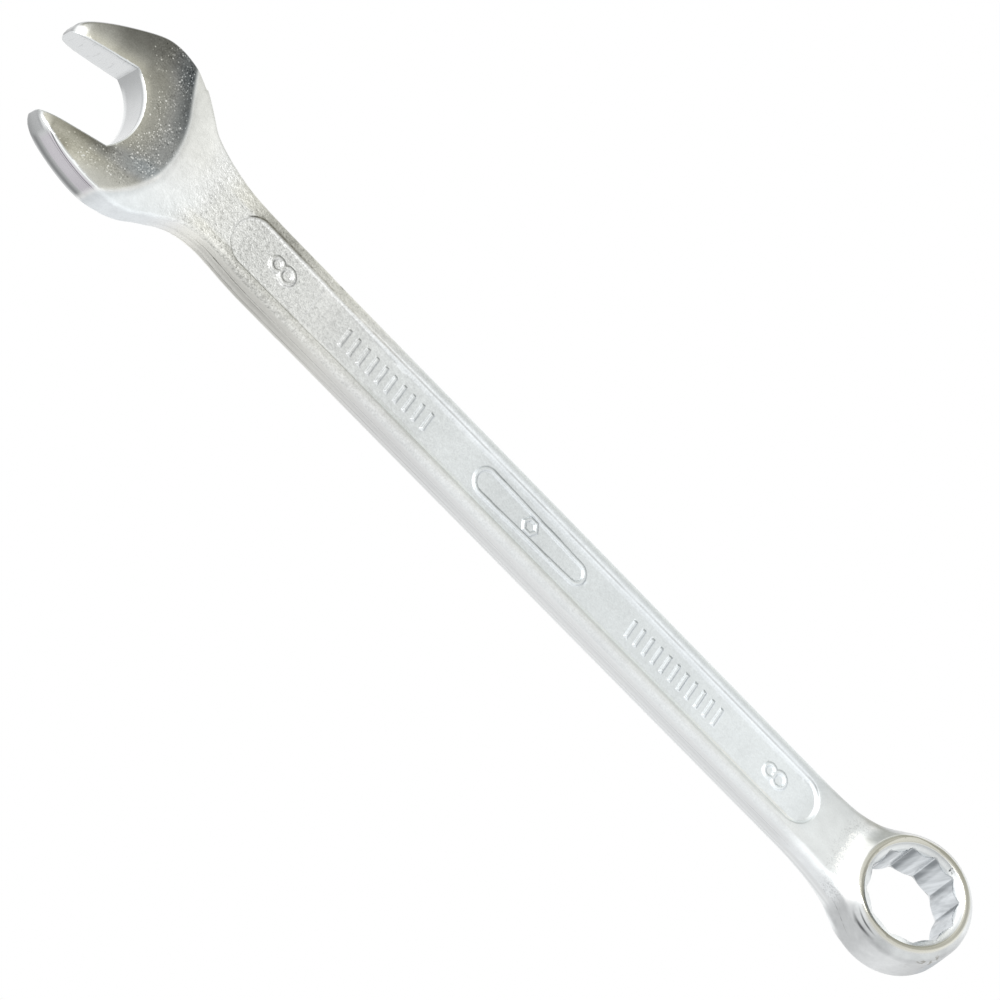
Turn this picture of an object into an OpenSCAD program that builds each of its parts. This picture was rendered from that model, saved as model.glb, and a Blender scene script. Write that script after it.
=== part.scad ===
// Combination wrench, 8 mm: an open jaw at one end and an offset 12-point ring at the other.
// One drop forging, so one solid. Nothing on it moves and nothing is fastened to it.
// Frame: origin at the centre of the ring opening, +X along the shank towards the open jaw,
// +Z up out of the face that carries the size numerals. Lengths in millimetres, angles in degrees.

/* [Size] */
// Nominal width across flats of the fastener
size_af = 8; // [7.5:0.1:8.5]
// Clearance of the two openings over the nominal size
af_clear = 0.12; // [0.05:0.01:0.2]
// Ring centre to the point where the jaw's axis crosses the shank's axis
reach = 103.8; // [98:0.5:116]

/* [Open jaw] */
// Angle of the jaw's axis to the shank, in plan
jaw_angle = 15; // [12:0.5:18]
// Thickness of the jaw head
jaw_t = 4; // [3.8:0.1:4.4]
// Offset of the opening's middle line to the side
jaw_side = -0.17; // [-0.3:0.01:0]
// Half the width of the jaw head
jaw_r = 8.5; // [8.3:0.1:8.8]
// Distance from the crossing point forward to the tips of the jaws
jaw_tip = 7.4; // [7.2:0.1:7.8]
// Distance from the crossing point forward to where the flats end
flat_start = 0.75; // [0.5:0.05:1]
// Depth of the curved throat behind the end of the flats
throat_d = 2; // [1.6:0.1:2.2]
// How far the head's outer edge and its back slope fall below its faces
jaw_bevel = 0.35; // [0.25:0.05:0.4]

/* [Shank] */
// Width of the shank
shank_w = 7.3; // [7:0.1:7.8]
// Thickness of the shank
shank_t = 3.5; // [3.2:0.1:3.8]
// Radius of the shank's long edges
shank_r = 0.75; // [0.5:0.05:0.9]
// Width of the sunk panel on each face
panel_w = 4.6; // [4.2:0.1:4.8]
// Depth of the sunk panel
panel_d = 0.35; // [0.2:0.05:0.45]
// Height of the trimmed flash band along each side
flash_h = 1; // [0.8:0.1:1.2]
// How far the flash band stands out from the side
flash_out = 0.06; // [0.04:0.01:0.1]

/* [Ring] */
// Angle of the ring's plane to the shank
ring_angle = 15; // [12:0.5:17]
// Outside diameter of the ring
ring_d = 12.7; // [12.7:0.1:13.4]
// Thickness of the ring
ring_t = 6.2; // [5.8:0.1:6.6]
// Radius of the ring's outer edges
ring_edge = 1.1; // [0.8:0.1:1.1]
// Mouth diameter of the cone that leads into the 12-point opening
lead_d = 10.3; // [10:0.1:10.4]
// Depth of that cone
lead_h = 0.55; // [0.4:0.05:0.7]

/* [Marks] */
// Height of the raised numerals and the badge rim above the panel floor
mark_h = 0.22; // [0.15:0.01:0.3]
// Distance from the ring centre to the badge's middle
badge_x = 51.1; // [49:0.1:53]
// Length of the badge
badge_l = 14.5; // [12:0.5:16]

/* [Hidden] */
$fn = 64;
eps = 0.01;
chrome = [0.83, 0.84, 0.83];

opening_af = size_af + af_clear;
// The shank's middle plane meets the ring's middle plane this far from the ring centre
bend_x = 5.2;
shank_z = -bend_x * tan(ring_angle);
// Ends of the shank, the flash band and the sunk panels along x
shank_x0 = 9.5;
shank_x1 = reach - 9.5;
flash_x1 = reach - 19;
panel_x0 = 12.4;
panel_x1 = reach - 14;

// ---- helpers ----
function arc(centre, radius, from, to, steps) = [
    for (i = [0:steps])
        let (angle = from + (to - from) * i / steps)
        centre + radius * [cos(angle), sin(angle)]];
function reverse(list) = [for (i = [len(list) - 1:-1:0]) list[i]];

// Long outline along x with a round end of its own radius at each end
function oblong(x0, x1, r0, r1, steps) = concat(
    arc([x0 + r0, 0], r0, 90, 270, steps),
    arc([x1 - r1, 0], r1, -90, 90, steps));

// Parabola that leaves the first point parallel to x and ends at the second
function flare(from, to, steps = 14) = [
    for (i = [0:steps])
        let (t = i / steps)
        [from.x + (to.x - from.x) * t, from.y + (to.y - from.y) * t * t]];

// Smooth closed curve (Catmull-Rom) through the points, with equal steps between each two
function spline(points, steps = 5) = [
    for (i = [0:len(points) - 1], j = [0:steps - 1])
        let (
            t = j / steps,
            count = len(points),
            before = points[(i + count - 1) % count],
            start = points[i],
            end = points[(i + 1) % count],
            after = points[(i + 2) % count])
        0.5 * (2 * start + (end - before) * t
            + (2 * before - 5 * start + 4 * end - after) * t * t
            + (3 * start - before - 3 * end + after) * t * t * t)];

// Extrudes a y-z section along x, with the shank's middle plane as its zero height
module along_x(x0, x1)
    translate([x0, 0, shank_z]) rotate([90, 0, 90]) linear_extrude(x1 - x0) children();
// Extrudes an x-z outline to both sides of the middle
module across_y(width) rotate([90, 0, 0]) linear_extrude(width, center = true) children();
module both_faces() for (side = [0, 1]) mirror([0, 0, side]) children();
// Origin at the crossing point, in the shank's middle plane
module at_jaw() translate([reach, 0, shank_z]) children();

// ---- jaw head; x, y from the crossing point, along and across the shank ----
// The outlines are drawn for a half width of 8.5 and a tip distance of 7.4
widen = jaw_r / 8.5;
tip_move = jaw_tip - 7.4;

// Outer edge, from the -Y jaw's tip round the back to the +Y jaw's tip
head_plan = spline([
    [8.1 + tip_move, -2.1], [8.36 + tip_move, -2.75], [8.2 + tip_move, -3.5],
    [7.3 + tip_move, -4.45], [5.2, -6.1 * widen], [2, -8.12 * widen], [0.1, -8.68 * widen],
    [-2, -8.55 * widen], [-3.7, -8.02 * widen], [-5.2, -7.2 * widen], [-6.9, -5.8 * widen],
    [-8.2, -3.6], [-8.7, 0], [-8.1, 3.3], [-6.6, 6.05 * widen], [-5.1, 7.1 * widen],
    [-3.3, 7.72 * widen], [-1.2, 7.9 * widen], [0.9, 7.75 * widen], [2.8, 7.42 * widen],
    [4.6, 6.85 * widen], [5.7 + tip_move, 6.3], [6.15 + tip_move, 5.75],
    [6.2 + tip_move, 5.1], [5.9 + tip_move, 4.4]]);
// Flat part of each face, which stops short of the neck
face_plan = spline([
    [7.6, -3.1], [5, -5.75 * widen], [1.9, -7.75 * widen], [0, -8.28 * widen],
    [-2, -8.1 * widen], [-3.6, -7.35 * widen], [-5.2, -5.7 * widen], [-5.9, -3.6],
    [-5.9, -1], [-5.3, 1.8], [-3.8, 4.6], [-2.2, 6.4 * widen], [-0.3, 7.3 * widen],
    [2.2, 7.1 * widen], [4.2, 6.6 * widen], [5.6, 5.3]]);

module head_blank() hull() {
    linear_extrude(jaw_t - 2 * jaw_bevel, center = true) polygon(head_plan);
    linear_extrude(jaw_t, center = true) polygon(face_plan);
}

// Each face falls away towards the tips and ends in a rounded nose
slope_x = 0.5;      // where the face starts to fall
nose_x = 5.3;       // where the rounding starts
nose_drop = 0.18;   // fall of the face up to there
nose_l = 2.4;       // half-axes of the elliptical rounding
nose_h = 1.15;
nose_end_z = 0.8;   // height of the cut beyond the tips
module nose_cut() {
    nose_z = jaw_t / 2 - nose_drop;
    end_x = jaw_tip + 2;
    both_faces() across_y(18) polygon(concat(
        [[slope_x, jaw_t], [slope_x, jaw_t / 2], [nose_x, nose_z]],
        [for (a = [10:10:70]) [nose_x + nose_l * sin(a), nose_z - nose_h * (1 - cos(a))]],
        [[end_x, nose_end_z], [end_x, jaw_t]]));
}

module jaw_head() at_jaw() difference() {
    head_blank();
    rotate([0, 0, jaw_angle]) nose_cut();
}

// Parallel flats and the curved throat behind them
module jaw_slot() {
    half = opening_af / 2;
    radius = (half * half + throat_d * throat_d) / (2 * throat_d);
    spread = asin(half / radius);
    centre = [flat_start - throat_d + radius, 0];
    at_jaw() rotate([0, 0, jaw_angle]) translate([0, jaw_side, 0])
        linear_extrude(jaw_t + 2, center = true) polygon(concat(
            [[jaw_tip + 3, -half], [jaw_tip + 3, half]],
            arc(centre, radius, 180 - spread, 180 + spread, 24)));
}

// ---- neck behind the jaw head; x, y from the crossing point ----
// The shank waists in slightly on its +Y side: x, and y from the side of the shank
waist_line = [
    [-19.5, 0.02], [-17, -0.1], [-15.2, -0.23], [-13.4, -0.33], [-12, -0.21], [-11, 0.05]];
waist_plan = concat([for (p = waist_line) p + [0, shank_w / 2]], [[-9, 5], [-19.5, 5]]);
// The neck flares out to the head on both sides
jaw_neck_plan = spline([
    [0, -7], [-3.7, -8 * widen], [-5.2, -7.25 * widen], [-6.5, -6.2], [-7.9, -5.3],
    [-9.5, -4.65], [-11.3, -4.2], [-13.3, -3.88], [-15.7, -3.68], [-19, -3.6],
    [-19, 3.4], [-15.7, 3.38], [-13.4, 3.3], [-12, 3.42], [-10.4, 3.82], [-9, 4.5],
    [-7.8, 5.35], [-6.5, 6.2], [-4.4, 7.3 * widen], [0, 6]]);
jaw_neck_thinner = 0.3;  // neck thickness below the shank's

module jaw_neck()
    at_jaw() linear_extrude(shank_t - jaw_neck_thinner, center = true) polygon(jaw_neck_plan);

// ---- shank ----
panel_land = 0.1;  // from the panel's edge to where the edge rounding meets the face

module shank_section() {
    corner = [shank_w / 2 - shank_r, shank_t / 2 - shank_r];
    right = concat(arc(corner, shank_r, 0, 80, 8), [[panel_w / 2 + panel_land, shank_t / 2]]);
    upper = concat(right, [for (p = reverse(right)) [-p.x, p.y]]);
    polygon(concat(upper, [for (p = upper) -p]));
}

module shank() {
    difference() {
        along_x(shank_x0, shank_x1) shank_section();
        at_jaw() linear_extrude(shank_t + 2, center = true) polygon(waist_plan);
    }
    along_x(shank_x0, flash_x1) square([shank_w + 2 * flash_out, flash_h], center = true);
}

module panel_cut() {
    cut_h = 1;
    translate([0, 0, shank_z]) both_faces()
        translate([0, 0, shank_t / 2 - panel_d + cut_h / 2])
            linear_extrude(cut_h, center = true)
                polygon(oblong(panel_x0, panel_x1, panel_w / 2, panel_w / 2, 24));
}

// ---- ring ----
core_r = 2;        // the ring and its neck start this far out, within the opening
lead_slope = 1.3;  // gain of the lead-in cone's radius per depth
module tilt() rotate([0, ring_angle, 0]) children();

module ring_blank() {
    rim = ring_d / 2 - ring_edge;
    half = ring_t / 2;
    tilt() rotate_extrude() polygon(concat(
        [[core_r, -half]],
        arc([rim, ring_edge - half], ring_edge, -90, 0, 12),
        arc([rim, half - ring_edge], ring_edge, 0, 90, 12),
        [[core_r, half]]));
}

// Widening of the shank into the ring, thicker towards the ring
module ring_neck() {
    start_x = 13.5;
    thicken_x = 9.5;
    half_w = 4.7;  // at the ring
    half_t = shank_t / 2 - 0.1;
    top_z = half_t + 1.1;
    bottom_z = -half_t - 0.35;
    side = flare([start_x, shank_w / 2 - 0.05], [4.2, half_w]);
    top = flare([thicken_x, half_t], [5.6, top_z]);
    bottom = flare([thicken_x, -half_t], [5, bottom_z]);
    translate([0, 0, shank_z]) intersection() {
        linear_extrude(8, center = true) polygon(concat(
            [[core_r, -half_w], [core_r, half_w]],
            reverse(side),
            [for (p = side) [p.x, -p.y]]));
        across_y(12) polygon(concat(
            [[start_x, -half_t], [start_x, half_t]],
            top,
            [[core_r, top_z], [core_r, bottom_z]],
            reverse(bottom)));
    }
}

// 12-point opening: two hexagons turned 30 degrees, with a cone at each mouth
module ring_opening() tilt() {
    for (a = [0, 30]) rotate([0, 0, a])
        cylinder(d = opening_af / cos(30), h = ring_t + 2, center = true, $fn = 6);
    both_faces() translate([0, 0, ring_t / 2 - lead_h])
        cylinder(
            d1 = lead_d - 2 * lead_slope * lead_h,
            d2 = lead_d + 2 * lead_slope * eps,
            h = lead_h + eps);
}

// ---- raised marks on the +Z panel floor ----
mark_root = 0.2;  // depth of the marks below the floor
mark_full = mark_root + mark_h;
floor_z = shank_z + shank_t / 2 - panel_d;
jaw_numeral_x = reach - 19.8;
jaw_bars_x = reach - 33.6;
ring_bars_x = 31.6;
ring_numeral_x = 17.75;
bar_size = [0.34, 1.9, mark_full];

module on_floor(x) translate([x, 0, floor_z - mark_root]) children();
module loop(radius, wall) difference() {
    cylinder(r = radius, h = mark_full);
    translate([0, 0, -1]) cylinder(r = radius - wall, h = 3);
}

// Size numeral 8: two loops in line with the shank
module eight(x) on_floor(x) {
    translate([0.62, 0, 0]) loop(0.82, 0.34);
    translate([-0.66, 0, 0]) loop(0.92, 0.36);
}

// Oblong rim, a little narrower towards the ring, round a raised hexagonal loop
module badge(x) {
    ring_end_r = 1.18;
    jaw_end_r = 1.5;
    rim = 0.38;
    end = badge_l / 2;
    on_floor(x) {
        difference() {
            linear_extrude(mark_full) polygon(oblong(-end, end, ring_end_r, jaw_end_r, 20));
            translate([0, 0, -1]) linear_extrude(3)
                polygon(oblong(rim - end, end - rim, ring_end_r - rim, jaw_end_r - rim, 20));
        }
        loop(0.95, 0.37, $fn = 6);
    }
}

// Row of short raised bars
module bars(x, count, pitch) on_floor(x)
    for (i = [0:count - 1])
        translate([(i - (count - 1) / 2) * pitch, 0, mark_full / 2]) cube(bar_size, center = true);

module marks() {
    eight(jaw_numeral_x);
    bars(jaw_bars_x, count = 10, pitch = 1.2);
    badge(badge_x);
    bars(ring_bars_x, count = 11, pitch = 1.18);
    eight(ring_numeral_x);
}

// ---- whole wrench ----
module wrench() color(chrome) {
    difference() {
        union() {
            jaw_head();
            jaw_neck();
            shank();
            ring_neck();
            ring_blank();
        }
        jaw_slot();
        ring_opening();
        panel_cut();
    }
    marks();
}

wrench();
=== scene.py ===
"""A 12-point ring and open-jaw wrench in satin chrome.

The ring is centred on the origin and its axis leans 15 degrees from +z towards +x. The shank
runs along +x below it, and the jaw opens at the far end, turned 15 degrees towards +y.
Sizes are in mm and are turned into metres when the mesh is made.
"""
import math
import bpy
import numpy as np
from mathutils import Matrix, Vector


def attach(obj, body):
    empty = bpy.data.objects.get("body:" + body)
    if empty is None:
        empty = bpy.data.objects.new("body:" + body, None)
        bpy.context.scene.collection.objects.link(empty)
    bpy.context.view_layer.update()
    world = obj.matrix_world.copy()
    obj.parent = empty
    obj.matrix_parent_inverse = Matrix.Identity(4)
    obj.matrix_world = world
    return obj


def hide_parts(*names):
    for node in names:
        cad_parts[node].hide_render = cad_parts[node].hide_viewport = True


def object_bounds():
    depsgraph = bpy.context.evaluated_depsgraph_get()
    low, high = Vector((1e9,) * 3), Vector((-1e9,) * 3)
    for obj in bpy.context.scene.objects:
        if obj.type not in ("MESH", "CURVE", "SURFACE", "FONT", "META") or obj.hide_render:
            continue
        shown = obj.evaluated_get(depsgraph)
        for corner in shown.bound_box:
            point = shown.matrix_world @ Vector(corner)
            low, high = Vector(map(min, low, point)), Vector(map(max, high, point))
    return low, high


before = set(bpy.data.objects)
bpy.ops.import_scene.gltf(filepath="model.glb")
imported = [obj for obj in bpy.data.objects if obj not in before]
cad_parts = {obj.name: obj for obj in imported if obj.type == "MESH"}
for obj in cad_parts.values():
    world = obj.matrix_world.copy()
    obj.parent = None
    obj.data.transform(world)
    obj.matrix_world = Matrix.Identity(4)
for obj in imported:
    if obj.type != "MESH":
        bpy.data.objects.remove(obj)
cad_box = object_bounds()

import openvdb as vdb
from mathutils import Matrix, Vector

VOXEL = 0.085   # spacing of the surface grid
GRID_BOX = ((-7.2, 112.6), (-9.5, 8.7), (-5.0, 5.0))
SLAB = 64                               # grid planes filled at a time
BAND = 1.5                              # distances are kept up to this

# ---------------------------------------------------------------- sizes, in mm
COS15, SIN15 = math.cos(math.radians(15)), math.sin(math.radians(15))
FLATS = 8.12                            # across flats, jaw and ring
REACH = 103.8                           # x of the crossing point of shank and jaw axes
BEND = 5.2
SHANK_Z = -BEND * math.tan(math.radians(15))  # the shank's middle plane
JAW_Y = -0.17                           # the jaw's axis passes this far beside the crossing point
JAW_R = 5.12                            # throat arc
JAW_ARC_X = -1.25 + JAW_R               # centre of the arc along the jaw
RING_R, RING_HALF, RING_EDGE = 6.36, 3.1, 1.15
PANEL_START, PANEL_END, PANEL_HALF = 12.4, 89.8, 2.3
PANEL_FLARE = 0.15                      # extra half-width by the jaw
PANEL_DEPTH, MARK_HEIGHT = 0.35, 0.17

# Half-widths along neck and shank on the -y and +y sides: x from the crossing point, half-width
WIDTH_MINUS = [
    [-95, 3.65], [-19, 3.66], [-15.7, 3.72], [-13.3, 3.88], [-11.3, 4.2], [-9.5, 4.65],
    [-7.9, 5.3], [-6.5, 6.2], [-5.2, 7.2], [-4.0, 8.0]]
WIDTH_PLUS = [
    [-95, 3.65], [-19, 3.62], [-17, 3.55], [-15.2, 3.42], [-13.4, 3.32], [-12, 3.44],
    [-10.4, 3.82], [-9, 4.5], [-7.8, 5.35], [-6.5, 6.2], [-5.2, 6.95], [-4.0, 7.4]]
# Raised rings: x, y, outer radius, line width
RINGS = ((84.63, -0.30, 0.82, 0.36), (83.30, -0.16, 0.94, 0.38),
         (18.38, -0.03, 0.80, 0.34), (17.12, -0.01, 0.92, 0.36))
# Rows of raised bars: middle x, number, pitch
BARS = ((70.2, 10, 1.2), (31.6, 11, 1.18))


def spline(points, steps=6):
    """Closed smooth outline through the points."""
    points = np.array(points, float)
    count = len(points)
    out = []
    for i in range(count):
        a, b, c, d = (points[(i + k) % count] for k in (-1, 0, 1, 2))
        for j in range(steps):
            t = j / steps
            out.append(0.5 * (2 * b + (c - a) * t + (2 * a - 5 * b + 4 * c - d) * t * t
                              + (3 * b - a - 3 * c + d) * t ** 3))
    return np.array(out)


# Plan outlines, x and y from the crossing point
HEAD = spline([
    [8.24, -2.02], [8.36, -2.75], [8.2, -3.5], [7.3, -4.45], [5.2, -6.1], [2, -8.12],
    [0.1, -8.68], [-2, -8.55], [-3.7, -8.02], [-5.2, -7.2], [-6.9, -5.8], [-8.2, -3.6],
    [-8.7, 0], [-8.1, 3.3], [-6.6, 6.05], [-5.1, 7.1], [-3.3, 7.72], [-1.2, 7.9],
    [0.9, 7.75], [2.8, 7.42], [4.6, 6.88], [5.72, 6.42], [6.26, 5.84], [6.3, 5.1], [5.95, 4.4]])
# The flat crescent ends behind along a curve and runs past the head outline elsewhere
FACE = spline([
    [12, -10], [3, -12], [-1.5, -10.2], [-2.55, -7.93], [-3.76, -5.68], [-4.87, -3.57],
    [-5.58, -1.03], [-5.63, 1.75], [-4.89, 4.03], [-3.84, 5.89], [-2.74, 7.15], [-1.2, 8.3],
    [1.5, 10.2], [6, 11], [12, 9], [14, 0]])


# ---------------------------------------------------------------- shape helpers
def smooth(a, b, x):
    t = np.clip((x - a) / (b - a), 0.0, 1.0)
    return t * t * (3 - 2 * t)


def smooth_min(a, b, blend):
    h = np.clip(blend - np.abs(a - b), 0, None) / blend
    return np.minimum(a, b) - h * h * blend * 0.25


def round_corner(a, b, r):
    """Rounded intersection of two distances that already include r."""
    return (np.minimum(np.maximum(a, b), 0)
            + np.sqrt(np.maximum(a, 0) ** 2 + np.maximum(b, 0) ** 2) - r)


def round_max(a, b, r):
    """Intersection with a rounded edge of radius r."""
    return round_corner(a + r, b + r, r)


def curve(x, stations):
    """Smooth interpolation through control points without overshoot."""
    px, py = np.asarray(stations, float).T
    gap = np.diff(px)
    rate = np.diff(py) / gap
    slope = np.zeros(len(px))
    for i in range(1, len(px) - 1):
        if rate[i - 1] * rate[i] > 0:
            w1, w2 = 2 * gap[i] + gap[i - 1], gap[i] + 2 * gap[i - 1]
            slope[i] = (w1 + w2) / (w1 / rate[i - 1] + w2 / rate[i])
    slope[0], slope[-1] = rate[0], rate[-1]
    x = np.clip(x, px[0], px[-1])
    i = np.clip(np.searchsorted(px, x, side="right") - 1, 0, len(px) - 2)
    t = (x - px[i]) / gap[i]
    return ((2 * t ** 3 - 3 * t * t + 1) * py[i] + (t ** 3 - 2 * t * t + t) * gap[i] * slope[i]
            + (3 * t * t - 2 * t ** 3) * py[i + 1] + (t ** 3 - t * t) * gap[i] * slope[i + 1])


def outline_distance(px, py, outline):
    """Signed distance to a closed outline, negative inside."""
    squared = np.full(px.shape, 1e9)
    inside = np.zeros(px.shape, bool)
    for (ax, ay), (bx, by) in zip(outline, np.roll(outline, -1, axis=0)):
        ex, ey = bx - ax, by - ay
        wx, wy = px - ax, py - ay
        t = np.clip((wx * ex + wy * ey) / (ex * ex + ey * ey + 1e-12), 0, 1)
        squared = np.minimum(squared, (wx - t * ex) ** 2 + (wy - t * ey) ** 2)
        if abs(by - ay) > 1e-9:
            crossing = px < (bx - ax) * (py - ay) / (by - ay) + ax
            inside ^= ((ay <= py) != (by <= py)) & crossing
    return np.where(inside, -1.0, 1.0) * np.sqrt(squared)


def oblong_distance(x, y, x0, x1, r0, r1):
    """Round-ended bar from x0 to x1 with end radii r0 and r1."""
    t = np.clip((x - x0 - r0) / (x1 - r1 - x0 - r0), 0, 1)
    r = r0 + (r1 - r0) * t
    return np.hypot(x - np.clip(x, x0 + r0, x1 - r1), y) - r


def marks_distance(x, y):
    """Distance to the raised marks: rings, bars, and a hexagon in an oblong."""
    d = np.full(np.shape(x), 9.0)
    for cx, cy, r, line in RINGS:
        d = np.minimum(d, np.abs(np.hypot(x - cx, y - cy) - (r - line / 2)) - line / 2)
    for middle, count, pitch in BARS:
        for i in range(count):
            bar_x = middle + (i - (count - 1) / 2) * pitch
            d = np.minimum(d, np.maximum(np.abs(x - bar_x) - 0.17, np.abs(y) - 0.95))
    oblong = oblong_distance(x, y, x0=43.85, x1=58.35, r0=1.18, r1=1.5)
    d = np.minimum(d, np.abs(oblong + 0.19) - 0.19)
    hex_x, hex_y = np.abs(x - 51.1), np.abs(y)
    hexagon = np.maximum(hex_y, 0.8660254 * hex_x + 0.5 * hex_y) - 0.82
    return np.minimum(d, np.abs(hexagon + 0.17) - 0.17)


# ---------------------------------------------------------------- the forging
def plan_fields(x, y):
    """Everything that depends only on the plan position."""
    x, y = np.broadcast_arrays(x, y)
    head_x = x - REACH
    jaw_x = head_x * COS15 + y * SIN15
    jaw_y = -head_x * SIN15 + y * COS15

    # the shank widens into the ring and blends into the head
    t = np.clip((13.0 - x) / 8.8, 0, 1.2)
    flare = 0.85 * t * t
    plan = np.maximum(y - curve(head_x, WIDTH_PLUS) - flare,
                      -y - curve(head_x, WIDTH_MINUS) - flare)
    plan = np.maximum(np.maximum(plan, head_x + 4.5), 1.5 - x)
    face = np.full(x.shape, 5.0)
    m = head_x > -24
    plan[m] = smooth_min(outline_distance(head_x[m], y[m], HEAD), plan[m], 0.5)
    face[m] = outline_distance(head_x[m], y[m], FACE)

    # height of the faces over the middle plane, lower behind the crescent
    within, beyond = np.minimum(face, 0), np.maximum(face, 0)
    height = (2.0 - 0.03 * np.exp(within / 0.9) - 0.33 * (1 - np.exp(-(beyond / 1.25) ** 1.5))
              - 0.03 * (1 - np.exp(-beyond / 0.3)) + 0.11 * smooth(2.2, 7.5, beyond))
    # the faces fall away towards the tips and end in rounded noses
    height = height - 0.006 * np.clip(jaw_x + 1.0, 0, None) ** 2
    nose = np.clip(jaw_x - 5.3, 0, 2.45) / 2.5
    height = height - 1.15 * (1 - np.sqrt(np.clip(1 - nose ** 2, 0, 1)))
    height = np.maximum(height, 0.6)

    # sunk panel and its raised marks
    half = PANEL_HALF + PANEL_FLARE * smooth(70, 88, x)
    panel = oblong_distance(x, y / half * PANEL_HALF, PANEL_START, PANEL_END,
                            PANEL_HALF, PANEL_HALF)
    soft = 0.14 + 0.30 * smooth(80, 62, x) - 0.22 * smooth(17, 13.5, x)
    sunk = smooth(soft, -soft, panel)
    marks = np.full(x.shape, 9.0)
    m = (panel < -0.2) & (x < 88)
    marks[m] = marks_distance(x[m], y[m])

    # towards the ring the neck thickens, more above than below
    t = np.clip((9.5 - x) / 3.9, 0, 1.6)
    arc = np.hypot(jaw_x - JAW_ARC_X, jaw_y - JAW_Y)
    return {
        "plan": plan,
        "face": face,
        "marks": marks,
        "top": height - PANEL_DEPTH * sunk + 1.1 * t * t + MARK_HEIGHT * smooth(0.10, -0.10, marks),
        "bottom": height - PANEL_DEPTH * sunk + 0.32 * t * t,
        "top_edge": 0.36 + 0.39 * smooth(-8.5, -14, head_x),
        "bottom_edge": 0.78 - 0.28 * smooth(4.0, 6.5, jaw_x) - 0.03 * smooth(-8.5, -14, head_x),
        "slot": np.maximum(np.abs(jaw_y - JAW_Y) - FLATS / 2,
                           np.where(jaw_x < JAW_ARC_X, arc - JAW_R, -9.0)),
    }


def solid(f, x, y, z):
    """Signed distance of the whole forging, from the plan fields and z."""
    height = z - SHANK_Z
    faces = np.where(height > 0, height - f["top"], -height - f["bottom"])
    # a low flash band stands out round the shank's sides
    plan = f["plan"] - (0.06 * smooth(0.56, 0.46, np.abs(height)) * smooth(-9, -12, x - REACH)
                        * smooth(11.0, 13.5, x))
    d = round_max(plan, faces, np.where(height > 0, f["top_edge"], f["bottom_edge"]))

    # ring: its rim falls slowly at first and then rounds over into the wall
    near = x < 15
    ring_x = x * COS15 - z * SIN15
    axial = x * SIN15 + z * COS15
    r = np.hypot(ring_x, y)
    ring = round_corner(
        r - RING_R + RING_EDGE,
        np.abs(axial) - RING_HALF + RING_EDGE + 0.28 * np.clip(r - 5.35, 0, 1.1) ** 1.5,
        RING_EDGE)
    d = np.where(near, smooth_min(d, ring, 1.1), d)

    # 12-point opening with rounded points, and its cones
    hexagons = []
    for turn in (0, 30):
        one, two, three = (
            np.abs(ring_x * math.cos(t) + y * math.sin(t)) - FLATS / 2
            for t in (math.radians(angle + turn) for angle in (30, 90, 150)))
        hexagons.append(round_max(round_max(one, two, 0.14), three, 0.14))
    cone_r = np.where(axial > 0, 5.08, 4.95)
    cone = (r - cone_r + (RING_HALF - np.abs(axial)) * 1.25) * 0.625
    opening = smooth_min(smooth_min(*hexagons, 0.30), np.maximum(cone, -9), 0.04)
    d = np.where(near, round_max(d, -opening, 0.10), d)
    return np.where(x > 80, round_max(d, -f["slot"], 0.16), d)


def build_surface():
    """Sample the solid on a grid and return its surface points, triangles and quads."""
    xs, ys, zs = (a + VOXEL * np.arange(int(round((b - a) / VOXEL)) + 1) for a, b in GRID_BOX)
    grid = np.empty((len(xs), len(ys), len(zs)), np.float32)
    for i in range(0, len(xs), SLAB):
        slab = xs[i:i + SLAB]
        plan = plan_fields(slab[:, None], ys[None, :])
        f = {key: field[:, :, None] for key, field in plan.items()}
        d = solid(f, slab[:, None, None], ys[None, :, None], zs[None, None, :])
        grid[i:i + SLAB] = np.clip(d, -BAND, BAND)
    volume = vdb.FloatGrid(background=BAND / VOXEL)
    volume.copyFromArray(grid / VOXEL, tolerance=0.0)
    points, tris, quads = volume.convertToPolygons(isovalue=0.0, adaptivity=0.03)
    return points.astype(float) * VOXEL + np.array([a for a, b in GRID_BOX]), tris, quads


def value(p):
    return solid(plan_fields(p[:, 0], p[:, 1]), p[:, 0], p[:, 1], p[:, 2])


def gradient(p, reach=0.02):
    g = np.empty_like(p)
    for k in range(3):
        shift = np.zeros(3)
        shift[k] = reach
        g[:, k] = (value(p + shift) - value(p - shift)) / (2 * reach)
    return g


def settle(points):
    """Move the points onto the exact surface, at most 0.08 mm at a time."""
    for _ in range(2):
        g = gradient(points)
        move = (value(points) / np.maximum((g * g).sum(1), 0.04))[:, None] * g
        length = np.linalg.norm(move, axis=1, keepdims=True)
        points = points - move * np.minimum(1, 0.08 / np.maximum(length, 1e-9))
    return points


def add_object(data):
    obj = bpy.data.objects.new(data.name, data)
    bpy.context.scene.collection.objects.link(obj)
    return obj


def store_attributes(mesh, points, normals):
    """Give the chrome its distances, places and normals at each vertex."""
    x, y, z = points.T
    nx, ny, nz = normals.T
    f = plan_fields(x, y)
    ring_x = x * COS15 - z * SIN15
    e = 0.03
    mark_x = (marks_distance(x + e, y) - marks_distance(x - e, y)) / (2 * e)
    mark_y = (marks_distance(x, y + e) - marks_distance(x, y - e)) / (2 * e)
    turn = ny * ring_x - (nx * COS15 - nz * SIN15) * y
    attributes = {
        "mlit": np.where(f["marks"] < 1.0, (mark_x + mark_y) * 0.7071, 0.0),
        "dface": f["face"], "dmark": np.minimum(f["marks"], 2.0), "dplan": f["plan"],
        "px": x, "py": y, "pz": z,
        "tw": turn / np.maximum(np.hypot(ring_x, y), 1e-6),
        "nz": nz, "ny": ny, "nx": nx,
    }
    for name, values in attributes.items():
        layer = mesh.attributes.new(name, "FLOAT", "POINT")
        layer.data.foreach_set("value", np.asarray(values, np.float32))


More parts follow.
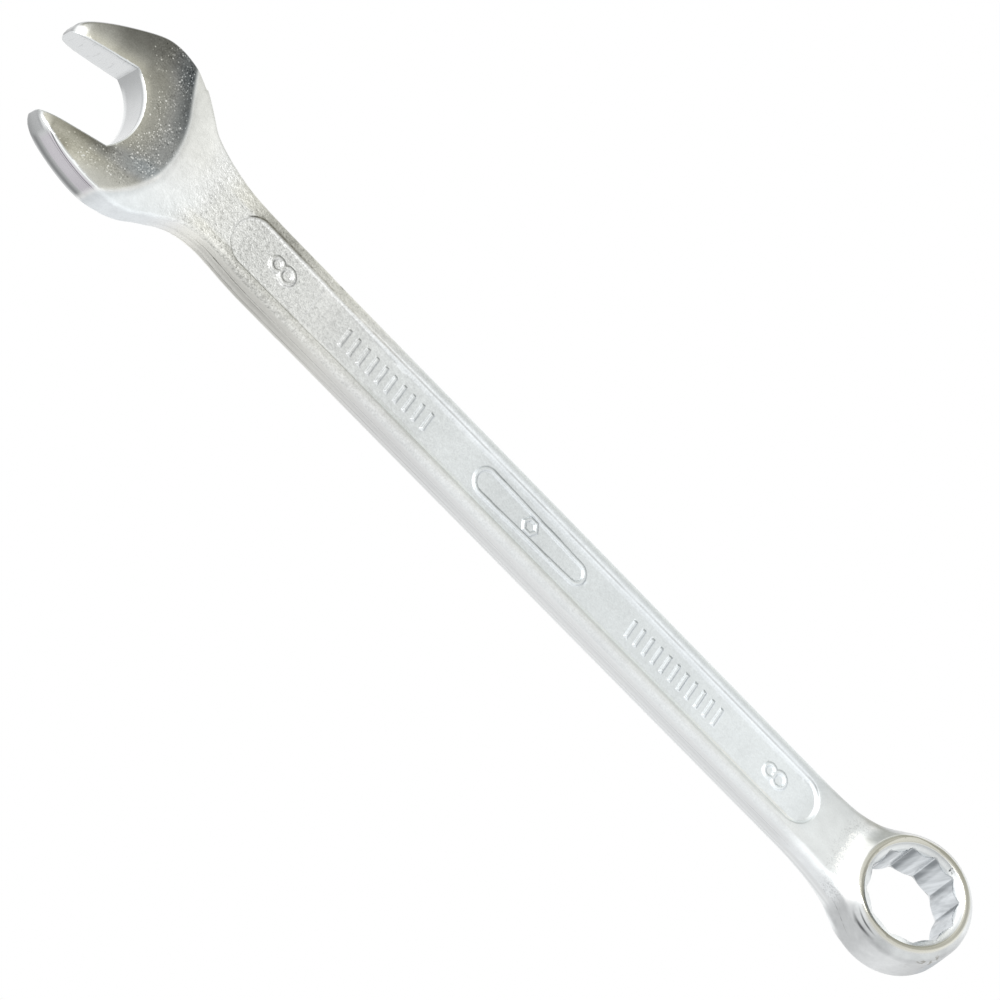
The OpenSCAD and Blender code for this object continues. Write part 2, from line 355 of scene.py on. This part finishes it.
def build_forging():
    points, tris, quads = build_surface()
    points = settle(points)
    g = gradient(points, 0.03)
    normals = g / np.maximum(np.linalg.norm(g, axis=1, keepdims=True), 1e-9)
    # stay inside the CAD box
    points = np.clip(points, *(np.array(corner) * 1000 for corner in cad_box))

    mesh = bpy.data.meshes.new("wrench_forging")
    mesh.from_pydata((points / 1000).tolist(), [],
                     quads[:, ::-1].tolist() + tris[:, ::-1].tolist())
    mesh.validate()
    mesh.update()
    body = add_object(mesh)

    # a sample of the faces tells whether the normals point outwards
    sample = [mesh.polygons[i] for i in range(0, len(mesh.polygons), 997)]
    centres = np.array([face.center[:] for face in sample])
    facing = np.array([face.normal[:] for face in sample])
    if (facing * gradient(centres * 1000)).sum() < 0:
        mesh.flip_normals()
        mesh.update()
    mesh.polygons.foreach_set("use_smooth", [True] * len(mesh.polygons))
    mesh.normals_split_custom_set_from_vertices([tuple(normal) for normal in normals])
    store_attributes(mesh, points, normals)
    return body


body = build_forging()
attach(body, "root")
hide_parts("wrench")


# ---------------------------------------------------------------- node helpers
def start_tree(owner):
    owner.use_nodes = True
    Val.tree = owner.node_tree
    Val.tree.nodes.clear()


def node(kind, inputs, **settings):
    """New node; inputs maps input names or numbers to constants, sockets or Vals."""
    new = Val.tree.nodes.new(kind)
    for key, setting in settings.items():
        setattr(new, key, setting)
    for key, source in inputs.items():
        source = getattr(source, "socket", source)
        if isinstance(source, bpy.types.NodeSocket):
            Val.tree.links.new(source, new.inputs[key])
        else:
            new.inputs[key].default_value = source
    return new


class Val:
    """A node socket that can be used in arithmetic."""

    tree = None

    def __init__(self, socket):
        self.socket = socket

    @classmethod
    def math(cls, what, *args):
        return cls(node("ShaderNodeMath", dict(enumerate(args)), operation=what).outputs[0])

    def __add__(self, o): return Val.math("ADD", self, o)
    def __sub__(self, o): return Val.math("SUBTRACT", self, o)
    def __rsub__(self, o): return Val.math("SUBTRACT", o, self)
    def __mul__(self, o): return Val.math("MULTIPLY", self, o)
    def __truediv__(self, o): return Val.math("DIVIDE", self, o)
    def abs(self): return Val.math("ABSOLUTE", self)
    def pow(self, o): return Val.math("POWER", self, o)
    def min(self, o): return Val.math("MINIMUM", self, o)
    def max(self, o): return Val.math("MAXIMUM", self, o)
    __radd__, __rmul__ = __add__, __mul__

    def clamp(self):
        return self.max(0).min(1)

    def step(self, a, b):
        """0 at a, 1 at b, smooth between."""
        lo, hi, start, end = (a, b, 0, 1) if a < b else (b, a, 1, 0)
        return Val(node(
            "ShaderNodeMapRange",
            {"Value": self, "From Min": lo, "From Max": hi, "To Min": start, "To Max": end},
            interpolation_type="SMOOTHSTEP", clamp=False).outputs["Result"])

    def bell(self, centre, width):
        """1 at the centre, 0 at the width either side."""
        return (self - centre).abs().step(width, 0)

    def vary(self, amount):
        """Noise centred on zero and scaled."""
        return (self - 0.5) * amount


def attr(name):
    return Val(node("ShaderNodeAttribute", {}, attribute_name=name).outputs["Fac"])


def coords(stretch=(1, 1, 1), turn=(0, 0, 0)):
    place = node("ShaderNodeTexCoord", {}).outputs["Object"]
    return node("ShaderNodeMapping",
                {"Scale": stretch, "Rotation": turn, "Vector": place}).outputs["Vector"]


def noise(per_mm, detail=2, rough=0.5, **mapping):
    return Val(node("ShaderNodeTexNoise", {
        "Scale": per_mm * 1000, "Detail": detail, "Roughness": rough,
        "Vector": coords(**mapping)}).outputs["Fac"])


def dots(per_mm, shift, r0, r1, chance):
    """Small round spots: returns the spot mask and a second random value."""
    place = node("ShaderNodeMapping", {"Location": shift, "Vector": coords()}).outputs[0]
    cells = node("ShaderNodeTexVoronoi", {"Scale": per_mm * 1000, "Vector": place}, feature="F1")
    random = node("ShaderNodeSeparateColor", {0: cells.outputs["Color"]}).outputs
    spot = Val(cells.outputs["Distance"]).step(r0, r1) * (chance - Val(random[0])).step(0, 0.10)
    return spot, Val(random[1])


def ramp(x, stops):
    """Piecewise linear function of x; stops maps places to levels."""
    first, *inner, last = stops
    new = node("ShaderNodeValToRGB", {0: (x - first) / (last - first)})
    elements = new.color_ramp.elements
    elements[0].color = (1, 1, 1, stops[first] / 255)
    elements[1].color = (1, 1, 1, stops[last] / 255)
    for place in inner:
        elements.new((place - first) / (last - first)).color = (1, 1, 1, stops[place] / 255)
    return Val(new.outputs["Alpha"]) * 255


def lerp(a, b, t):
    return (b - a) * t + a


# ---------------------------------------------------------------- chrome: places and zones
# step(a, b) limits a zone, bell(centre, width) draws a line; both are in mm or degrees
chrome = bpy.data.materials.new("chrome_satin")
start_tree(chrome)

face_gap, mark_gap, plan_gap = (attr(name) for name in ("dface", "dmark", "dplan"))
x, y, z = (attr(name) for name in ("px", "py", "pz"))
normal_z = attr("nz")
height = z - SHANK_Z
jaw_x = (x - REACH) * COS15 + y * SIN15
jaw_y = y * COS15 - (x - REACH) * SIN15
ring_x = x * COS15 - z * SIN15
axial = x * SIN15 + z * COS15
radius = (ring_x * ring_x + y * y).pow(0.5)
angle = Val.math("ARCTAN2", y, ring_x) * (180 / math.pi)
# distances to the jaw opening and to the panel's edge
arc_x = (jaw_x - JAW_ARC_X).min(0)
arc_y = jaw_y - JAW_Y
slot_gap = (arc_y.abs() - FLATS / 2).max((arc_x * arc_x + arc_y * arc_y).pow(0.5) - JAW_R)
panel_x = x - x.max(PANEL_START + PANEL_HALF).min(PANEL_END - PANEL_HALF)
panel_y = y * PANEL_HALF / (x.step(70, 88) * PANEL_FLARE + PANEL_HALF)
panel_gap = (panel_x * panel_x + panel_y * panel_y).pow(0.5) - PANEL_HALF
upside = height.step(-0.2, 0.2)

# grain sizes, from broad to fine
blot = noise(0.30, detail=3, rough=0.55)
cloud = noise(0.9, detail=3, rough=0.6)
grain = noise(2.6, detail=3, rough=0.6)
fine = noise(6.5, rough=0.55)

in_head = x.step(91, 92)
crescent = face_gap.step(0.22, -0.22) * in_head
slot = slot_gap.step(0.17, 0.10) * x.step(97, 98)
head = crescent * (1 - slot)
crescent_face = (crescent * (1 - slot) * height.abs().step(1.1, 1.5)
                 * normal_z.abs().step(0.78, 0.93))
in_ring = x.step(8.2, 6.8) * radius.step(7.4, 6.6)
bore = radius.step(5.06, 4.98) * in_ring
star = bore * axial.abs().step(2.62, 2.50)
cone = bore * (1 - axial.abs().step(2.62, 2.50))
lip = radius.step(4.98, 5.10) * radius.step(5.80, 5.52) * axial.abs().step(2.55, 2.80) * in_ring
ring_wall = in_ring * radius.step(5.45, 5.75)
polish = (crescent + slot + bore + lip + ring_wall * 0.55).clamp()
satin = 1 - polish
open_end = (x.step(68, 86) * 0.6 + x.step(80, 89) * 0.4) * x.step(99, 93)
one = x * 0 + 1


def flat(level):
    return one * level


def lay(new_tone, new_tint, mask):
    """Lay a tone and a tint over the current ones."""
    global tone, tint
    tone = lerp(tone, new_tone, mask)
    tint = lerp(tint, new_tint, mask)


# ---------------------------------------------------------------- chrome: shank
# tone is a level from 0 to 255, tint is blue less red on the same scale
tone = ramp(x, {
    6: 226, 9: 232, 11: 236, 13: 231, 15: 243, 20: 241, 25: 239, 30: 232, 38: 231, 45: 230,
    50: 224, 55: 224, 60: 232, 68: 224, 72: 225, 76: 218, 79: 224, 82: 222, 84: 218, 88: 213,
    89.5: 226, 91: 225, 92.5: 223, 94: 230, 96: 231, 100: 230})
tint = ramp(x, {6: 27, 30: 27, 60: 26, 70: 24, 78: 20, 90: 19, 92: 18, 95: 22, 100: 22}) - 20
tone += y.step(-1.5, 2) * x.step(91, 94) * 6
tone -= x.step(91, 94) * 3

# shoulders beside the panel, -y then +y, with painted light and shade across them: the -y shoulder
# lighter and the +y shoulder darker towards its outer edge
outside = panel_gap.step(-0.05, 0.08)
shoulder = ramp(x, {
    8: 217, 12: 220, 20: 221, 28: 223, 40: 219, 50: 219, 60: 221, 68: 216, 74: 213, 78: 206,
    81: 199, 83: 184, 85: 165, 88: 168, 90: 204, 92: 219, 95: 228})
shoulder += y.step(-2.85, -3.2) * 25 * x.step(91, 88)
shoulder += x.step(84, 90) * x.step(95, 92) * 12
lay(shoulder, tint - x.step(66, 78) * x.step(93, 90) * 6,
    outside * y.step(-1.8, -2.35) * satin * normal_z.abs().step(0.3, 0.6))
shoulder = ramp(x, {
    8: 229, 15: 231, 30: 230, 40: 223, 50: 225, 60: 226, 66: 219, 78: 215, 82: 207, 85: 196,
    88: 192, 90: 205, 92: 224, 95: 237})
shoulder += x.step(70, 60) * 8
shoulder -= y.step(2.80, 3.2) * (18 + x.step(70, 60) * 8)
lay(shoulder, tint - 4 + y.step(2.8, 3.6) * 1, outside * y.step(1.8, 2.35) * satin)

# panel walls with painted highlight and shade, and the fine broken lines along them
tone -= panel_gap.bell(-0.20, 0.30) * y.step(-1.5, -2) * (20 - x.step(70, 79) * 26)
tone += panel_gap.bell(-0.18, 0.30) * y.step(1.5, 2) * (24 - x.step(66, 80) * 16)
breaks = noise(0.55, detail=3, rough=0.6, stretch=(0.35, 1, 1))
line = ramp(x, {
    13: 192, 30: 192, 45: 186, 50: 180, 60: 186, 72: 178, 78: 172, 82: 148, 84.5: 112,
    90.5: 96, 91.6: 130, 92.4: 215})
lay(line, tint - 3, panel_gap.bell(0.09, 0.13) * y.step(-1.3, -1.9) * satin
    * (0.45 + 0.55 * breaks.step(0.36, 0.5).max(x.step(80, 84))))
line = ramp(x, {
    13: 228, 30: 236, 45: 230, 52: 218, 60: 224, 72: 220, 78: 188, 82: 152, 84: 112,
    88.2: 92, 89.4: 140, 90.4: 205})
lay(line, tint - 3, panel_gap.bell(0.05, 0.12) * y.step(1.3, 1.9) * satin
    * (0.40 + 0.60 * breaks.step(0.40, 0.56).max(x.step(80, 84))))
# the panel's two round ends: a painted light line with painted shade inside it by the jaw, a
# painted highlight crescent with a painted shade line outside it by the ring
tone += panel_gap.bell(0.13, 0.15) * x.step(90, 91.2) * 14
tone -= panel_gap.bell(-0.12, 0.18) * x.step(90, 91.2) * 8
tone += panel_gap.bell(-0.14, 0.16) * x.step(14.8, 13.4) * y.step(1.4, -0.2) * 40
tone -= panel_gap.bell(0.10, 0.09) * x.step(14.8, 13.4) * 40

# pebbled skin, coarse by the open end
pebble = ramp(x, {6: 10, 30: 12, 60: 18, 70: 25, 78: 32, 84: 50, 89: 50, 92: 36, 95: 18, 99: 14})
tone += (grain.vary(pebble) * 1.3 + fine.vary(pebble) * 1.9) * satin
tone -= (grain.step(0.44, 0.33) * 16 + fine.step(0.42, 0.32) * 10) * open_end * satin
tone += blot.vary(12) * satin
# burr and nicks
tone -= (x.bell(78.6, 0.5) * y.bell(-3.35, 0.35) * 60
         + x.bell(80.6, 0.5) * height.bell(0.25, 0.12) * y.step(0, 1) * 80) * grain.step(0.42, 0.55)

# raised marks: lit on one side, shaded on the other
mark_lit = attr("mlit")
marked = panel_gap.step(0.03, -0.12) * upside
tone += mark_gap.bell(0, 0.17) * marked * (mark_lit * 15 - 24)
tone -= mark_gap.bell(0.09, 0.11) * marked * mark_lit.step(0.2, -0.8) * (10 + 54 * open_end)
tone -= mark_gap.step(0.02, -0.12) * marked * 2

# sides, with the flash band between fine lines, and painted light and shade in bands by height,
# lighter towards the bottom
side = normal_z.abs().step(0.62, 0.35) * satin
side_tone = ramp(x, {
    6: 216, 12: 219, 30: 221, 45: 221, 58: 217, 68: 209, 76: 206, 80: 197, 84: 192, 88: 196,
    90.5: 208, 92: 228, 96: 231})
lay(side_tone, tint - 1.5, side)
depth = ramp(x, {6: 30, 30: 30, 45: 16, 60: 34, 72: 46, 79: 90, 89: 100, 91.5: 20, 93: 0})
run = noise(0.5, detail=3, rough=0.6, stretch=(0.25, 1, 1)).step(0.34, 0.52)
tone -= (height.bell(0.54, 0.09) * (0.45 + 0.55 * run)
         + height.bell(-0.70, 0.10) * 0.55 * run * x.step(70, 79)) * depth * side
tone -= height.bell(0.25, 0.40) * 8 * side
tone -= height.bell(0, 0.3) * x.step(76, 82) * 10 * side
tone -= height.bell(-0.95, 0.2) * x.step(80, 86) * 18 * side
tone += height.bell(-0.62, 0.3) * x.step(76, 70) * 9 * side
tone -= x.step(14, 9) * height.step(0.3, 0.8) * 13 * side
tone -= (height.bell(0.27, 0.06) * x.bell(85, 4.5) * 75
         + height.bell(-0.36, 0.07) * x.bell(66, 14) * 32) * run * side
tone -= height.bell(0.80, 0.05) * x.step(76, 82) * x.step(92, 89) * 40 * (1 - run) * side
tone += height.step(-0.85, -1.25) * 22 * side

# head behind the polished crescent
beyond = ((face_gap - jaw_y.step(2.5, 4.5) * jaw_y.step(8, 5.5) * 0.16).step(-0.05, 0.40)
          * face_gap.step(5.6, 2.6) * in_head)
lay(ramp(jaw_y, {-8: 217, -5: 222, -3: 227, 0: 225, 2: 228, 4: 231, 8: 225})
    + cloud.vary(20) + fine.vary(14) + grain.vary(12)
    - face_gap.step(1, 0.15) * jaw_y.step(-6, -4) * 16,
    ramp(jaw_y, {-8: 17, -4: 18, 0: 18, 3: 21, 8: 26}) - 20, beyond)

# neck before the ring, with a darker patch on either side
neck = ramp(y, {-4.5: 216, -3.2: 222, -2: 227, -1.2: 233, 0: 236, 2: 238, 3.2: 236, 3.9: 225})
lay(neck + cloud.vary(14) + fine.vary(10), flat(4), x.step(14.5, 11) * upside * satin)
lay(183 + grain.vary(60), flat(-9),
    angle.bell(-40, 24) * radius.step(5.9, 6.3) * radius.step(10.4, 8.2) * upside
    * (0.80 + 0.20 * grain.step(0.40, 0.55)))
lay(196 + grain.vary(60), flat(-3),
    angle.bell(48, 16) * radius.step(6.9, 7.4) * radius.step(9.4, 8.3) * upside
    * grain.step(0.62, 0.42) * 0.8)
# painted highlight in the hollow round the boss, laid last, and the specks about it
boss_highlight = ((radius + blot.vary(1.6) + grain.vary(2.2) + fine.vary(3.6)).step(7.8, 7.4)
          * radius.step(5.66, 5.84) * upside * angle.step(-22, -10) * angle.step(50, 38)
          * x.step(3, 4) * axial.step(1.9, 2.4).max(angle.step(26, 14)))
specks = ((radius + grain.vary(1.6)).step(9.2, 7.8) * angle.step(-30, -14)
          * angle.step(60, 40) * upside * x.step(4, 5))
tone -= specks * (fine.step(0.48, 0.36) * 26 + grain.step(0.46, 0.36) * 16)

# ---------------------------------------------------------------- chrome: polished head
# painted reflection on the polished face: beige by the flats, dark round the back
face_reflection_and_grain = ramp(jaw_y, {
    -8: 100, -7.2: 103, -6.6: 108, -6: 122, -5.4: 130, -4.8: 134, -4.2: 136, -3: 141,
    -1.5: 144, 1: 146, 3.5: 148, 4.8: 153, 5.4: 157, 6: 168, 6.6: 180, 7.4: 188})
face_reflection_tint = ramp(jaw_y, {
    -8: 14, -6: 13, -4.5: 10, -2: 11, 1: 11, 3.5: 12, 5: 6, 6.5: 4, 8: 6}) - 20
# the jaw's two arms
minus_arm = jaw_y.step(-3.9, -4.3)
plus_arm = jaw_y.step(3.5, 4)
face_reflection_and_grain += minus_arm * (slot_gap.step(1.7, 0.1) * jaw_x.step(-1.8, 0.6) * 36
                      + jaw_x.step(2.4, 4.6) * 24)
face_reflection_and_grain -= (plus_arm * slot_gap.step(1.5, 0.05) * jaw_x.step(-2, 0.2)
          * (1 - jaw_x.step(2.8, 5.4) * 0.9) * 40)
face_reflection_and_grain += plus_arm * jaw_x.step(0, 2.6) * slot_gap.step(0.3, 1) * 12
# round the throat
face_reflection_and_grain += (slot_gap.step(0.95, 0.25) * jaw_x.step(1.2, 0.2) * jaw_y.step(-4.4, -3.6)
          * jaw_y.step(4, 3) * (22 - jaw_y.step(-3, 1) * 14))
face_reflection_and_grain += (slot_gap.step(2.4, 0.4) * jaw_x.step(1.2, 0.2) * jaw_y.step(-4.4, -3.6)
          * jaw_y.step(3, 1) * 12)
# along the crescent's back edge
back = face_gap.step(-2, -0.3) * jaw_y.step(1.6, -2.5) * jaw_y.step(-7.6, -6)
face_reflection_and_grain -= back * 35
face_reflection_and_grain += face_gap.step(-0.40, 0.05) * 26
face_reflection_and_grain -= jaw_y.step(5, 6) * jaw_x.step(3.2, 4.4) * 32
face_reflection_tint = (face_reflection_tint + 2.5 + face_gap.step(-3.4, -1) * 8 + back * 3
              - slot_gap.step(1.2, 0.2) * 3
              + jaw_y.step(2.5, 4) * jaw_y.step(5.6, 4.6) * jaw_x.step(3, 1) * 7)
# grain, then painted sparkle: light and dark spots
shine = (face_gap.step(-5.4, -2.2) * face_gap.step(-0.02, -0.30)
         * (0.25 + 0.75 * noise(0.55).step(0.36, 0.60)) * jaw_y.step(7.2, 5.2))
face_reflection_and_grain += grain.vary(16 + 40 * shine)
face_reflection_and_grain += fine.vary(26 + 90 * shine)
face_reflection_and_grain += cloud.vary(14)
spot, level = dots(4.6, shift=(0, 0, 0), r0=0.46, r1=0.14, chance=shine * 0.85)
face_reflection_and_grain += spot * (10 + level * 78)
spot, level = dots(3.1, shift=(0.003, 0.001, 0), r0=0.36, r1=0.12, chance=shine * 0.46 + 0.03)
face_reflection_and_grain += spot * (24 + level * 84)
spot, level = dots(4.0, shift=(0.001, 0.004, 0.002), r0=0.46, r1=0.15, chance=shine * 0.60)
face_reflection_and_grain -= spot * (10 + level * 30)

# outer wall of the head, and its tips, with painted shade and reflection in bands by height, and a
# painted light rim along the top edge on the -y side
wall = ramp(height, {
    -2: 214, -1.25: 190, -1: 148, -0.8: 126, -0.6: 138, -0.4: 156, -0.15: 170, 0: 188,
    0.6: 194, 1.3: 192, 1.5: 196, 1.7: 190, 2.2: 216})
wall -= jaw_x.step(2.8, 0.4) * height.step(-0.1, 0.2) * 8
tips = ramp(height, {-1.2: 142, -0.6: 156, 0: 168, 0.8: 176, 1.1: 168, 1.25: 205, 1.7: 222})
wall = lerp(wall, tips, jaw_x.step(6, 6.5))
wall = wall + cloud.vary(10) + fine.vary(8)
on_face = (height.abs().step(1.15, 1.45)
           * lerp(plan_gap.step(-0.06, -0.26), plan_gap.step(-0.36, -0.50),
                  jaw_y.step(2, 4) * jaw_x.step(-1.2, 0.4))
           * (1 - jaw_x.step(7, 7.45)))
edge = lerp(wall, flat(206), jaw_y.step(1, -1) * height.step(1, 1.3))
head_tone = lerp(edge, face_reflection_and_grain, on_face)
head_tint = lerp(flat(2), face_reflection_tint, on_face)
# painted glints at both tips, and a double dark line of painted reflection on the +y arm
glint = ((jaw_x - 6.75).abs().step(0.75, 0.15) * (jaw_y + 4.75).abs().step(0.55, 0.10)
         + ((jaw_x - 6.2).abs().step(0.85, 0.2)
            * (jaw_y - 6.15 + (jaw_x - 6.2) * 0.6).abs().step(0.42, 0.12)))
head_tone = lerp(head_tone, flat(250), glint * upside)
head_tint = lerp(head_tint, flat(0), glint)
double = ((height.bell(1.66, 0.06) + height.bell(1.44, 0.05) * 0.7).clamp()
          * jaw_x.step(6.2, 5.4) * jaw_x.step(-0.5, 0.1) * jaw_y.step(3, 4)
          * slot_gap.step(0.3, 0.8))
head_tone = lerp(head_tone, flat(84), double * 0.85)
lay(head_tone, head_tint, head)

# jaw flats, pale with fine scratches and painted shade towards their top edge and the throat; the
# throat has painted reflection, darker towards -y and lighter at the bottom edge, with a painted
# dark line and a painted highlight along its top edge
scratch = noise(5.0, rough=0.6, stretch=(1, 1, 0.12),
                turn=(0, math.radians(8), math.radians(-15)))
flats = ramp(height, {-2: 226, -1.2: 222, 1.2: 222, 1.6: 214, 1.8: 205, 2: 212})
flats = flats - scratch.step(0.58, 0.70) * 12 + fine.vary(8) - jaw_x.step(1.3, 0.8) * 16
throat = ramp(jaw_y, {-4.6: 170, -3.8: 178, -3: 192, -2.2: 206, -1.5: 212, 0: 217, 4: 219})
throat += ramp(height, {-1.8: 32, -1.5: 20, -1.25: 0, 1.2: 0}) * jaw_y.step(-3.9, -3.2)
throat = lerp(throat, flat(188), height.bell(1.50, 0.16) * jaw_y.step(-3.8, -2.6))
throat = lerp(throat, flat(250), height.step(1.66, 1.80) * jaw_y.step(-4.2, -3.4))
throat += cloud.vary(10)
lay(lerp(flats, throat, jaw_x.step(0.80, 0.72)),
    lerp(flat(3), flat(2.5), jaw_x.step(0.80, 0.72)), slot)

# ---------------------------------------------------------------- chrome: ring
# bore, streaked along its axis; facets painted lighter or darker by which way they turn, painted
# shade in the star's outer corners, and a painted highlight on the walls towards +y
turned = attr("tw")
lean = (0, math.radians(-15), 0)
bands = noise(1.1, stretch=(1, 1, 0.06), turn=lean)
streak = noise(3.8, rough=0.6, stretch=(1, 1, 0.05), turn=lean)
inner = lerp(flat(214), flat(194), turned.step(-0.05, 0.15)) + bands.vary(70) + streak.vary(60)
inner = lerp(inner, flat(132), radius.step(4.34, 4.54) * turned.step(-0.22, 0.12)
             * (0.45 + 0.55 * bands.step(0.62, 0.42)))
bright = angle.step(0, 20) * angle.step(124, 104)
lay(lerp(inner, flat(238) + bands.vary(20), bright), flat(8), star)

# cones, painted lighter or darker by angle with painted shade near the lip away from the bright
# side, and a chip on the -y side
cone_tone = ramp(angle, {
    -180: 244, -125: 240, -108: 200, -85: 196, -60: 208, -30: 218, 0: 222, 25: 234, 60: 243,
    110: 243, 125: 238, 180: 244})
cone_tone = (cone_tone + cloud.vary(26) + fine.vary(12)
             - radius.step(4.72, 5) * (1 - bright) * 28)
chip = angle.bell(-111, 9) * grain.step(0.50, 0.38)
lay(cone_tone - chip * 110, flat(3), cone)
# a painted shade line where the star meets the cones, away from the bright side
lay(flat(150), flat(8),
    bore * axial.step(2.72, 2.60) * axial.step(2.42, 2.52) * bright.step(1, 0) * 0.35)

# rim and outer wall, painted with light and shade by angle and height
rim = ramp(angle, {
    -180: 222, -150: 228, -125: 240, -108: 226, -75: 230, -50: 218, -25: 196, -12: 212,
    0: 250, 24: 248, 40: 214, 62: 204, 75: 184, 92: 174, 105: 196, 135: 194, 150: 188,
    165: 196, 180: 216})
outer = ramp(angle, {
    -180: 205, -150: 214, 0: 220, 30: 205, 45: 186, 60: 190, 75: 193, 90: 213, 105: 219,
    118: 207, 135: 187, 150: 163, 162: 170, 180: 205})
outer = lerp(outer, flat(206), axial.step(1.2, 2) * angle.step(110, 130))
outer += angle.step(66, 48) * axial.step(-1.3, -2.1) * 56 * angle.step(0, 20)
outer = lerp(outer, rim, axial.step(1.5, 2.3)) + cloud.vary(26) + grain.vary(14)
outer_tint = (3 + angle.bell(150, 17) * 8 * axial.step(1.9, 1.1)
              - angle.bell(-70, 50) * 3 * axial.step(1.8, 2.3))
stain = (noise(1.9, detail=3, rough=0.65).step(0.56, 0.64) * angle.bell(140, 26)
         * axial.step(2.9, 2) * axial.step(0.2, 1))
outer -= stain * 56
outer_tint -= stain * 12
# two dark lines on the rim, and a seam on the wall
outer -= ((radius.bell(5.92, 0.08) + (radius + (angle - 60) * 0.004).bell(6.25, 0.10)).clamp()
          * axial.step(1.4, 1.9) * angle.bell(66, 18)) * 100
seam = height.bell(0.35, 0.10) * angle.step(16, 30) * angle.step(72, 50)
outer -= seam * 50 * grain.step(0.40, 0.55)
lay(outer, outer_tint, ring_wall)
# painted highlight and painted shade arcs on the -y side of the rim
tone = lerp(tone, flat(244), radius.bell(5.74, 0.11) * angle.step(-128, -112)
            * angle.step(-12, -26) * axial.step(2.2, 2.6) * in_ring)
tone = lerp(tone, flat(150), radius.bell(5.88, 0.06) * angle.step(-120, -100)
            * angle.step(-50, -66) * axial.step(2, 2.4) * in_ring)
# lip: painted reflection by angle, with painted shade at its inner edge and a lighter band at its
# outer part on the -y side
lip_tone = ramp(angle, {
    -180: 200, -140: 196, -110: 186, -75: 180, -30: 190, 0: 184, 40: 172, 75: 172, 120: 186,
    165: 202, 180: 200})
lip_tone -= radius.bell(5.06, 0.12) * 14
lip_tone += radius.step(5.45, 5.75) * angle.step(-160, -130) * angle.step(-50, -70) * 34
lay(lip_tone, flat(-11), lip)
tone = lerp(tone, flat(262), boss_highlight)
tint *= 1 - boss_highlight

# ---------------------------------------------------------------- chrome: shader
# levels to colour, with the light each place gets taken out
green = (0.3 - tint.min(0) * 0.20
         - head * normal_z.abs().step(0.85, 0.6) * jaw_x.step(6.2, 5.6)
         * height.step(-0.3, 0.1) * 3)
light = 1 - crescent_face * 0.29 - lip * 0.04 + slot * 0.04
levels = (tone - tint * 0.5 - green * 0.5, tone + green, tone + tint * 0.5 - green * 0.5)
channels = [((level.max(4) / 255).pow(2.2) / light).min(1) for level in levels]
colour = node("ShaderNodeCombineColor", dict(enumerate(channels))).outputs[0]
rough = lerp(0.50, 0.20, polish) + beyond * 0.12 + cloud.vary(0.10) + star * 0.10 + cone * 0.12
# relief, in mm
relief = (grain.vary(satin * (0.012 + 0.062 * open_end))
          + fine.vary(satin * (0.006 + 0.034 * open_end)) + cloud.vary(ring_wall * 0.030))
bump = node("ShaderNodeBump", {"Strength": 1.0, "Distance": 0.001, "Height": relief})
shader = node("ShaderNodeBsdfPrincipled", {
    "Base Color": colour, "Metallic": 1 - bore * bright * 0.85, "Roughness": rough,
    "Normal": bump.outputs[0]})
node("ShaderNodeOutputMaterial", {0: shader.outputs[0]})
body.data.materials.append(chrome)


# ---------------------------------------------------------------- floor, light and camera
def build_floor(half=3, level=-0.020):
    mesh = bpy.data.meshes.new("floor")
    corners = ((-half, -half), (half, -half), (half, half), (-half, half))
    mesh.from_pydata([(*corner, level) for corner in corners], [], [(0, 1, 2, 3)])
    floor = add_object(mesh)
    material = bpy.data.materials.new("pale_floor")
    start_tree(material)
    glow = node("ShaderNodeEmission", {"Color": (1, 1, 1, 1), "Strength": 1.0})
    # clear from below, so the underside of the wrench can be looked at
    clear = node("ShaderNodeBsdfTransparent", {})
    below = node("ShaderNodeNewGeometry", {}).outputs["Backfacing"]
    mixed = node("ShaderNodeMixShader", {0: below, 1: glow.outputs[0], 2: clear.outputs[0]})
    node("ShaderNodeOutputMaterial", {0: mixed.outputs[0]})
    mesh.materials.append(material)


def build_world():
    """Pale surroundings with three darker patches."""
    world = bpy.data.worlds.new("studio")
    bpy.context.scene.world = world
    start_tree(world)
    view = node("ShaderNodeTexCoord", {}).outputs["Generated"]
    colour = (1.22, 1.23, 1.22, 1)
    # patch direction, angles from it where the patch starts and is full, colour
    for direction, start, full, patch in (
            ((0.10, -0.95, 0.15), 60, 25, (0.60, 0.61, 0.55, 1)),
            ((-0.15, -0.50, 0.85), 31, 17, (0.70, 0.70, 0.66, 1)),
            ((-0.44, -0.60, 0.69), 17, 7, (0.62, 0.63, 0.62, 1))):
        cosine = Val(node("ShaderNodeVectorMath", {0: view, 1: Vector(direction).normalized()},
                          operation="DOT_PRODUCT").outputs["Value"])
        mask = cosine.step(math.cos(math.radians(start)), math.cos(math.radians(full)))
        colour = node("ShaderNodeMix", {0: mask, 6: colour, 7: patch},
                      data_type="RGBA").outputs[2]
    background = node("ShaderNodeBackground", {"Color": colour, "Strength": 1.0})
    node("ShaderNodeOutputWorld", {0: background.outputs[0]})


def build_light(place, aim, size, power):
    data = bpy.data.lights.new("softbox_left", "AREA")
    data.shape = "DISK"
    data.size = size
    data.energy = power
    lamp = add_object(data)
    lamp.location = place
    lamp.rotation_euler = (Vector(aim) - Vector(place)).to_track_quat("-Z", "Y").to_euler()


def build_camera(place, right, forward, lens):
    data = bpy.data.cameras.new("camera")
    camera = add_object(data)
    right, forward = Vector(right).normalized(), Vector(forward).normalized()
    up = right.cross(forward).normalized()
    right = forward.cross(up).normalized()
    pose = Matrix((right, up, -forward)).transposed().to_4x4()
    pose.translation = place
    camera.matrix_world = pose
    data.sensor_width = 36
    data.lens = lens
    data.clip_start = 0.01
    data.clip_end = 20
    bpy.context.scene.camera = camera


build_floor()
build_world()
build_light(place=(0.45, 0.05, 0.55), aim=(0.05, 0, 0), size=0.35, power=2.0)
build_camera(place=(0.190261, 0.249375, 0.403992), right=(-0.6737, -0.5066, 0.538),
             forward=(-0.27424, -0.50466, -0.8186), lens=197.64)
bpy.context.scene.view_settings.view_transform = "Standard"
bpy.context.scene.view_settings.look = "None"
